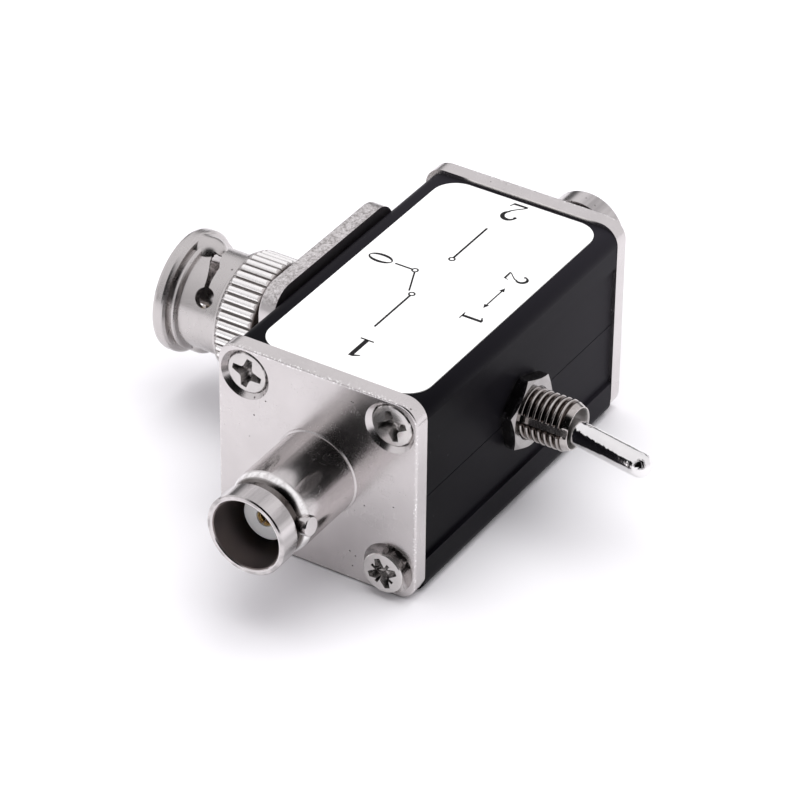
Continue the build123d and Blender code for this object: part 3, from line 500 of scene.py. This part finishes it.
M = {
    "nickel_jack": nickel("nickel_jack", axis="x", start=22.05, bore=(4.18, 24.0), plate_edge_glints_and_shadow=True,
                          neck=(4.78, 31.5, 33.13)),
    "nickel_plug": nickel("nickel_plug", axis="y", start=14.0, turned=0.2, flat=0.28, burr=(23.2, 11.5, 14.8)),
    "nickel_nut": nickel("nickel_nut", base=(0.60, 0.575, 0.565), axis="y", start=0.0, turned=0.27, grain=0.3,
                         groove=(6.8, 7.0, 17.0, 23.0)),
    "case_black": anodised("case_black"),
    "label_white": film("label_white"),
    "screw": screw_metal("screw_nickel"),
    "ptfe": plastic("ptfe", (0.86, 0.86, 0.85), 0.40, 0.03, sub=0.25),
    "gold": plated("gold", (0.86, 0.62, 0.25), 0.2, wave=0.1),
    "chrome": plated("chrome_lever", (0.88, 0.87, 0.865), 0.09, wave=0.10, ripple=1.0, uneven_end=(-28.2, 0.00010, 2100.0)),
    "toggle_nickel": plated("toggle_nickel", (0.60, 0.575, 0.545), 0.17, wave=0.12),
    "bushing_nickel": bushing_metal("bushing_nickel"),
    "hex_nut": nut_metal("hex_nut"),
    "ink": plastic("black_ink", (0.012, 0.0115, 0.012), 0.5, 0.2, grain=5000.0, depth=0.000001, gloss=0.12),
    "spring_steel": plated("spring_steel", (0.42, 0.41, 0.40), 0.3, wave=0.05),
    "rubber": plastic("seal_rubber", (0.30, 0.03, 0.02), 0.6, 0.15),
    "phenolic": plastic("phenolic", (0.16, 0.055, 0.025), 0.45, 0.25),
    "silver": plated("silver_contact", (0.82, 0.81, 0.78), 0.22, wave=0.1),
    "wire_red": plastic("wire_red", (0.50, 0.02, 0.02), 0.4, 0.08),
    "wire_white": plastic("wire_white", (0.80, 0.80, 0.78), 0.4, 0.05),
    "tinned": plated("wire_tinned", (0.66, 0.65, 0.64), 0.3, wave=0.1),
}

WEARS = {
    "upper_case_shell": "case_black", "lower_case_shell": "case_black", "top_label": "label_white",
    "jack1_body": "nickel_jack", "jack2_body": "nickel_jack", "plug_body": "nickel_plug",
    "coupling_nut": "nickel_nut", "jack1_screws": "screw", "jack2_screws": "screw", "plug_screws": "screw",
    "jack1_insulator": "ptfe", "jack2_insulator": "ptfe", "plug_insulator": "ptfe",
    "jack1_contact": "gold", "jack2_contact": "gold", "plug_pin": "gold", "plug_gasket": "rubber",
    "plug_retaining_ring": "spring_steel", "plug_thrust_washer": "spring_steel", "plug_wave_spring": "spring_steel",
    "toggle_frame": "toggle_nickel", "toggle_lock_washer": "toggle_nickel", "toggle_nut": "hex_nut",
    "toggle_base": "phenolic", "toggle_lever": "chrome", "toggle_plunger": "spring_steel",
    "toggle_plunger_spring": "spring_steel", "contact_rocker": "silver", "terminal_common": "silver",
    "terminal_throw_a": "silver", "terminal_throw_b": "silver", "jack1_wire": "wire_red",
    "jack2_wire": "wire_white", "plug_wire": "tinned",
}


def wear(obj, mat):
    obj.data.materials.clear()
    obj.data.materials.append(mat)


for node, key in WEARS.items():
    wear(nodes[node], M[key])

# ---------------------------------------------------------------------------
# modelled pieces
# ---------------------------------------------------------------------------


def new_object(name, verts, faces, mat, smooth=True, angle=35.0):
    """mesh piece from vertices in millimetres"""
    data = bpy.data.meshes.new(name)
    data.from_pydata([(x * MM, y * MM, z * MM) for x, y, z in verts], [], faces)
    bm = bmesh.new()
    bm.from_mesh(data)
    bmesh.ops.recalc_face_normals(bm, faces=bm.faces)
    bm.to_mesh(data)
    bm.free()
    obj = bpy.data.objects.new(name, data)
    scene.collection.objects.link(obj)
    data.materials.append(mat)
    if smooth:
        data.shade_smooth()
        data.set_sharp_from_angle(angle=math.radians(angle))
    return obj


# threaded bushing of the toggle with its bracket ------------------------------
BUSH_Y, INNER_Y, BR_T = -19.4, -10.75, 0.8
PITCH, CREST, ROOT = 0.75, 2.95, 2.58
NECK = 0.72                 # plain cone before the first turn
KEY_A, KEY_W, KEY_R = math.radians(167.0), 0.54, 2.44


def bushing_radius(theta, y):
    """outer radius at an angle from +X towards +Z"""
    s = y - BUSH_Y
    phase = (s / PITCH + theta / (2 * math.pi)) % 1.0
    ridge = min(1.0, max(0.0, 1.32 * abs(2 * phase - 1) - 0.12))
    ridge = math.sin(ridge * math.pi / 2) ** 1.5
    r = ROOT + (CREST - ROOT) * ridge
    # plain collar and run-in of the thread
    ease = min(1.0, max(0.0, (s - NECK) / 0.3))
    collar = 2.5 + s * 0.42
    r = collar * (1 - ease) + r * ease if s < NECK + 0.3 else r
    # keyway: a flat-bottomed slot along the bushing
    off = (theta - KEY_A + math.pi) % (2 * math.pi) - math.pi
    if abs(off) < math.pi / 2:
        across = abs(r * math.sin(off))
        if across < KEY_W + 0.05:
            floor_r = KEY_R / math.cos(off)
            wall = min(1.0, max(0.0, (across - KEY_W + 0.05) / 0.1))
            r = min(r, floor_r * (1 - wall) + r * wall)
    return r


def bushing_mesh():
    verts, faces = [], []
    turns = 200
    rings = []

    def ring(make):
        base = len(verts)
        for i in range(turns):
            theta = 2 * math.pi * i / turns
            x, y, z = make(theta)
            verts.append((x, y, z + AX))
        rings.append(base)

    def around(r, y):
        return lambda theta: (r * math.cos(theta), y, r * math.sin(theta))

    # outside, from the wall to the mouth
    steps = 175
    for k in range(steps + 1):
        y = INNER_Y + 0.2 + (BUSH_Y - INNER_Y - 0.2) * k / steps
        ring(lambda theta, y=y: (bushing_radius(theta, y) * math.cos(theta), y,
                                 bushing_radius(theta, y) * math.sin(theta)))
    # rounded lip, cone and bore back to the wall
    for r, y in ((2.44, BUSH_Y - 0.03), (2.38, BUSH_Y - 0.02), (2.34, BUSH_Y + 0.05), (2.3, BUSH_Y + 0.2),
                 (2.26, BUSH_Y + 0.8), (2.24, BUSH_Y + 1.5), (2.2, -17.2), (2.06, -16.5), (2.06, -15.0),
                 (2.4, -14.8), (2.4, INNER_Y + 0.2)):
        ring(around(r, y))
    for a, b in zip(rings, rings[1:] + rings[:1]):
        for i in range(turns):
            j = (i + 1) % turns
            faces.append((a + i, a + j, b + j, b + i))
    return verts, faces


def bracket_mesh():
    """flat bracket with the bushing's hole, and its two cheeks"""
    verts, faces = [], []
    turns = 64
    hx, hz = 6.5, 3.95

    def edge_point(theta):
        c, n = math.cos(theta), math.sin(theta)
        k = min(hx / max(abs(c), 1e-9), hz / max(abs(n), 1e-9))
        return c * k, n * k

    loops = []
    for y, hole in ((INNER_Y, True), (INNER_Y, False), (INNER_Y + BR_T, False), (INNER_Y + BR_T, True)):
        base = len(verts)
        for i in range(turns):
            theta = 2 * math.pi * (i + 0.5) / turns
            x, z = (2.4 * math.cos(theta), 2.4 * math.sin(theta)) if hole else edge_point(theta)
            verts.append((x, y, z + AX))
        loops.append(base)
    for a, b in zip(loops, loops[1:] + loops[:1]):
        for i in range(turns):
            j = (i + 1) % turns
            faces.append((a + i, a + j, b + j, b + i))
    for side in (1, -1):
        base = len(verts)
        z0, z1 = side * (hz - 0.4), side * hz
        for x in (-3.5, 3.5):
            for y in (INNER_Y + BR_T - 0.05, INNER_Y + BR_T + 7.2):
                for z in (z0, z1):
                    verts.append((x, y, z + AX))
        for f in ((0, 1, 3, 2), (4, 6, 7, 5), (0, 4, 5, 1), (2, 3, 7, 6), (0, 2, 6, 4), (1, 5, 7, 3)):
            faces.append(tuple(base + i for i in f))
    return verts, faces


v1, f1 = bushing_mesh()
v2, f2 = bracket_mesh()
bushing = new_object("threaded_bushing", v1 + v2, f1 + [tuple(i + len(v1) for i in f) for f in f2],
                     M["bushing_nickel"], angle=40.0)
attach(bushing, "case")
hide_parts("toggle_frame")

# wave spring behind the coupling nut: a flat band with three waves ------------
WAVE_Y0, WAVE_Y1, BAND_T = 20.340, 22.13, 0.16


def wave_spring_mesh():
    verts, faces = [], []
    n = 216
    mid, swing = (WAVE_Y0 + WAVE_Y1) / 2, (WAVE_Y1 - WAVE_Y0 - BAND_T) / 2 - 0.01
    for i in range(n):
        t = 2 * math.pi * i / n
        y = mid + swing * math.cos(3 * t)
        for r, off in ((4.5, -0.5), (4.78, -0.5), (4.78, 0.5), (4.5, 0.5)):
            verts.append((r * math.cos(t), y + off * BAND_T, AX + r * math.sin(t)))
    for i in range(n):
        a, b = 4 * i, 4 * ((i + 1) % n)
        for k in range(4):
            m = (k + 1) % 4
            faces.append((a + k, a + m, b + m, b + k))
    return verts, faces


wave_spring = new_object("wave_spring_band", *wave_spring_mesh(), M["spring_steel"])
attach(wave_spring, "case")
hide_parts("plug_wave_spring")
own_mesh(wave_spring)

# printing on the label: plain figures and a switch diagram --------------------
LABEL_Z = 24.52
INK_T = 0.012


class Print:
    """flat shapes on the label, drawn in the plane with u along `reads`, v along `tops`"""

    def __init__(self):
        self.verts, self.faces = [], []
        self.place((0, 0), (1, 0), 1.0)

    def place(self, origin, reads, height):
        self.o, self.u, self.h = origin, reads, height
        self.v = (-reads[1], reads[0])
        return self

    def shape(self, points):
        """closed outline (u, v) in units of the height, as a thin solid"""
        base = len(self.verts)
        flat = [(self.o[0] + (u * self.u[0] + v * self.v[0]) * self.h,
                 self.o[1] + (u * self.u[1] + v * self.v[1]) * self.h) for u, v in points]
        n = len(flat)
        for z in (LABEL_Z - 0.004, LABEL_Z + INK_T):
            self.verts += [(x, y, z) for x, y in flat]
        self.faces.append(tuple(base + i for i in reversed(range(n))))
        self.faces.append(tuple(base + n + i for i in range(n)))
        for i in range(n):
            j = (i + 1) % n
            self.faces.append((base + i, base + j, base + n + j, base + n + i))

    def stroke(self, points, widths):
        """line of varying width as one closed outline"""
        left, right = [], []
        for k, (p, w) in enumerate(zip(points, widths)):
            a = points[max(k - 1, 0)]
            b = points[min(k + 1, len(points) - 1)]
            dx, dy = b[0] - a[0], b[1] - a[1]
            m = math.hypot(dx, dy)
            nx, ny = -dy / m * w / 2, dx / m * w / 2
            left.append((p[0] + nx, p[1] + ny))
            right.append((p[0] - nx, p[1] - ny))
        for k in range(len(points) - 1):
            self.shape([right[k], right[k + 1], left[k + 1], left[k]])

    def bar(self, u0, v0, u1, v1):
        self.shape([(u0, v0), (u1, v0), (u1, v1), (u0, v1)])

    def ring(self, cu, cv, ru, rv, wu, wv, n=28):
        for k in range(n):
            a, b = 2 * math.pi * k / n, 2 * math.pi * (k + 1) / n
            self.shape([(cu + (ru - wu) * math.cos(a), cv + (rv - wv) * math.sin(a)),
                        (cu + ru * math.cos(a), cv + rv * math.sin(a)),
                        (cu + ru * math.cos(b), cv + rv * math.sin(b)),
                        (cu + (ru - wu) * math.cos(b), cv + (rv - wv) * math.sin(b))])

    def disc(self, cu, cv, r, n=20):
        self.shape([(cu + r * math.cos(2 * math.pi * k / n), cv + r * math.sin(2 * math.pi * k / n))
                    for k in range(n)])

    def one(self):
        self.bar(-0.075, 0.02, 0.075, 0.985)
        self.bar(-0.23, 0.0, 0.23, 0.06)
        self.shape([(-0.075, 0.985), (-0.27, 0.85), (-0.245, 0.81), (-0.075, 0.88)])

    def two(self):
        arc = []
        for k in range(15):
            a = math.radians(165 - k * 15.5)
            arc.append((0.0 + 0.235 * math.cos(a), 0.735 + 0.245 * math.sin(a)))
        arc += [(0.12, 0.46), (-0.02, 0.3), (-0.16, 0.16), (-0.25, 0.045)]
        n = len(arc)
        wide = [0.06 + 0.095 * math.sin(math.pi * min(1.0, k / (n - 4))) ** 1.2 if k < n - 3 else 0.05
                for k in range(n)]
        self.stroke(arc, wide)
        self.disc(-0.215, 0.78, 0.06)
        self.shape([(-0.29, 0.0), (0.25, 0.0), (0.31, 0.23), (0.275, 0.235), (0.225, 0.105), (-0.2, 0.085)])

    def zero(self):
        self.ring(0.0, 0.5, 0.29, 0.5, 0.13, 0.05)

    def arrow(self, u0, v0, u1, v1, head=0.34, w=0.09):
        dx, dy = u1 - u0, v1 - v0
        m = math.hypot(dx, dy)
        dx, dy = dx / m, dy / m
        e = (u1 - dx * head, v1 - dy * head)
        self.stroke([(u0, v0), e], [w, w])
        self.shape([(e[0] + dy * head * 0.42, e[1] - dx * head * 0.42), (u1, v1),
                    (e[0] - dy * head * 0.42, e[1] + dx * head * 0.42)])


ink = Print()
# figures at the sockets: they read towards the plug, tops towards socket 1
ink.place((-12.9, -0.6), (0, 1), 3.6).one()
ink.place((19.1, -0.6), (0, 1), 3.5).two()
# figure at the plug and at the toggle: they read towards socket 1, tops towards the toggle
ink.place((1.4, 8.3), (-1, 0), 3.0).zero()
ink.place((6.0, -6.5), (-1, 0), 2.6).two()
ink.place((-3.4, -6.5), (-1, 0), 2.6).one()
# diagram of the switch, in millimetres
ink.place((0, 0), (1, 0), 1.0)
LINE = 0.25
MID = 0.15
ink.stroke([(-10.4, MID), (-3.2, MID)], [LINE, LINE])
ink.stroke([(3.2 + 2.6, MID), (12.9, MID)], [LINE, LINE])
ink.ring(-2.85, MID, 0.42, 0.42, 0.19, 0.19)
ink.ring(5.45, MID, 0.42, 0.42, 0.19, 0.19)
ink.stroke([(1.35, 4.9), (1.35, 2.75)], [LINE, LINE])
ink.ring(1.35, 2.35, 0.42, 0.42, 0.19, 0.19)
ink.stroke([(1.02, 2.2), (-2.45, 0.75)], [0.2, 0.2])
ink.arrow(1.3, -7.75, 3.6, -7.75, 0.75, 0.17)
ink.arrow(1.3, -7.75, -1.0, -7.75, 0.75, 0.17)
printing = new_object("label_printing", ink.verts, ink.faces, M["ink"], smooth=False)
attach(printing, "case")

# ---------------------------------------------------------------------------
# floor, light
# ---------------------------------------------------------------------------
bm = bmesh.new()
bmesh.ops.create_grid(bm, x_segments=1, y_segments=1, size=3.0)
me = bpy.data.meshes.new("floor")
bm.to_mesh(me)
bm.free()
floor = bpy.data.objects.new("floor", me)
scene.collection.objects.link(floor)
floor.location = (0, 0, 0)
wear(floor, pale_floor("pale_floor"))


def area(name, place, aim, size, power, colour=(1, 1, 1)):
    data = bpy.data.lights.new(name, "AREA")
    data.shape = "RECTANGLE"
    data.size, data.size_y = size
    data.energy = power
    data.color = colour
    lamp = bpy.data.objects.new(name, data)
    scene.collection.objects.link(lamp)
    lamp.location = place
    lamp.rotation_mode = "QUATERNION"
    lamp.rotation_quaternion = (Vector(aim) - Vector(place)).to_track_quat("-Z", "Y")
    return lamp


# a diffuser: it lights, and bright metal shows the tent rather than the lamp
top_softbox = area("top_softbox", (0.05, -0.05, 0.78), (0, 0, 0.0), (0.8, 0.8), 5.3)
top_softbox.visible_glossy = False

# a light tent: white all round, dim behind the camera and along the horizon on
# the near side; only reflections and the light see it so, the camera sees white
world = bpy.data.worlds.new("studio")
scene.world = world
world.use_nodes = True
wt = world.node_tree
wt.nodes.clear()


def world_math(op, a, b=0.0, clamp=False):
    n = wt.nodes.new("ShaderNodeMath")
    n.operation = op
    n.use_clamp = clamp
    for i, v in enumerate((a, b)):
        if isinstance(v, (int, float)):
            n.inputs[i].default_value = v
        else:
            wt.links.new(v, n.inputs[i])
    return n.outputs[0]


def world_span(v, lo, hi, to_lo, to_hi):
    n = wt.nodes.new("ShaderNodeMapRange")
    n.interpolation_type = "SMOOTHSTEP"
    wt.links.new(v, n.inputs["Value"])
    for key, x in (("From Min", lo), ("From Max", hi), ("To Min", to_lo), ("To Max", to_hi)):
        n.inputs[key].default_value = x
    return n.outputs["Result"]


def world_dot(towards):
    n = wt.nodes.new("ShaderNodeVectorMath")
    n.operation = "DOT_PRODUCT"
    n.inputs[1].default_value = Vector(towards).normalized()
    wt.links.new(w_dir, n.inputs[0])
    return n.outputs["Value"]


w_dir = wt.nodes.new("ShaderNodeTexCoord").outputs["Generated"]
w_xyz = wt.nodes.new("ShaderNodeSeparateXYZ")
wt.links.new(w_dir, w_xyz.inputs[0])
elevation = w_xyz.outputs[2]
behind = world_span(world_dot((-0.72, -0.38, 0.58)), 0.64, 0.84, 1.0, 0.0)
low_band = world_math("MULTIPLY", world_span(elevation, 0.01, 0.085, 1.0, 0.0),
                      world_span(world_dot((-0.85, 0.1, 0.0)), -0.1, 0.35, 0.0, 1.0))
tent = world_math("MULTIPLY", behind, world_math("SUBTRACT", 1.0, world_math("MULTIPLY", low_band, 0.9)))
dim_end = world_span(world_dot((-0.93, -0.10, 0.27)), 0.80, 0.925, 1.0, 0.06)
tent = world_math("MULTIPLY", tent, dim_end)
far_band = world_math("MULTIPLY", world_span(elevation, 0.16, 0.44, 1.0, 0.0),
                      world_span(world_dot((0.9, 0.43, 0.0)), 0.75, 0.95, 0.0, 1.0))
tent = world_math("MULTIPLY", tent, world_math("SUBTRACT", 1.0, world_math("MULTIPLY", far_band, 0.86)))
left_side = world_span(world_dot((-0.75, 0.6, 0.25)), 0.2, 0.95, 1.0, 0.96)
tent = world_math("MULTIPLY", tent, left_side)
tent = world_math("MULTIPLY", tent, 0.98)
ray = wt.nodes.new("ShaderNodeLightPath").outputs
path, mirror = ray["Is Camera Ray"], ray["Is Glossy Ray"]
soft = world_math("ADD", world_math("MULTIPLY", tent, 0.58), 0.36)
tent = world_math("ADD", world_math("MULTIPLY", tent, mirror),
                  world_math("MULTIPLY", soft, world_math("SUBTRACT", 1.0, mirror)))
strength = world_math("ADD", world_math("MULTIPLY", tent, world_math("SUBTRACT", 1.0, path)),
                      world_math("MULTIPLY", path, 0.96))
w_out = wt.nodes.new("ShaderNodeOutputWorld")
w_bg = wt.nodes.new("ShaderNodeBackground")
w_bg.inputs[0].default_value = (0.99, 0.975, 1.0, 1)
wt.links.new(strength, w_bg.inputs[1])
wt.links.new(w_bg.outputs[0], w_out.inputs[0])

scene.view_settings.view_transform = "Standard"
scene.view_settings.look = "None"
scene.view_settings.exposure = 0.0
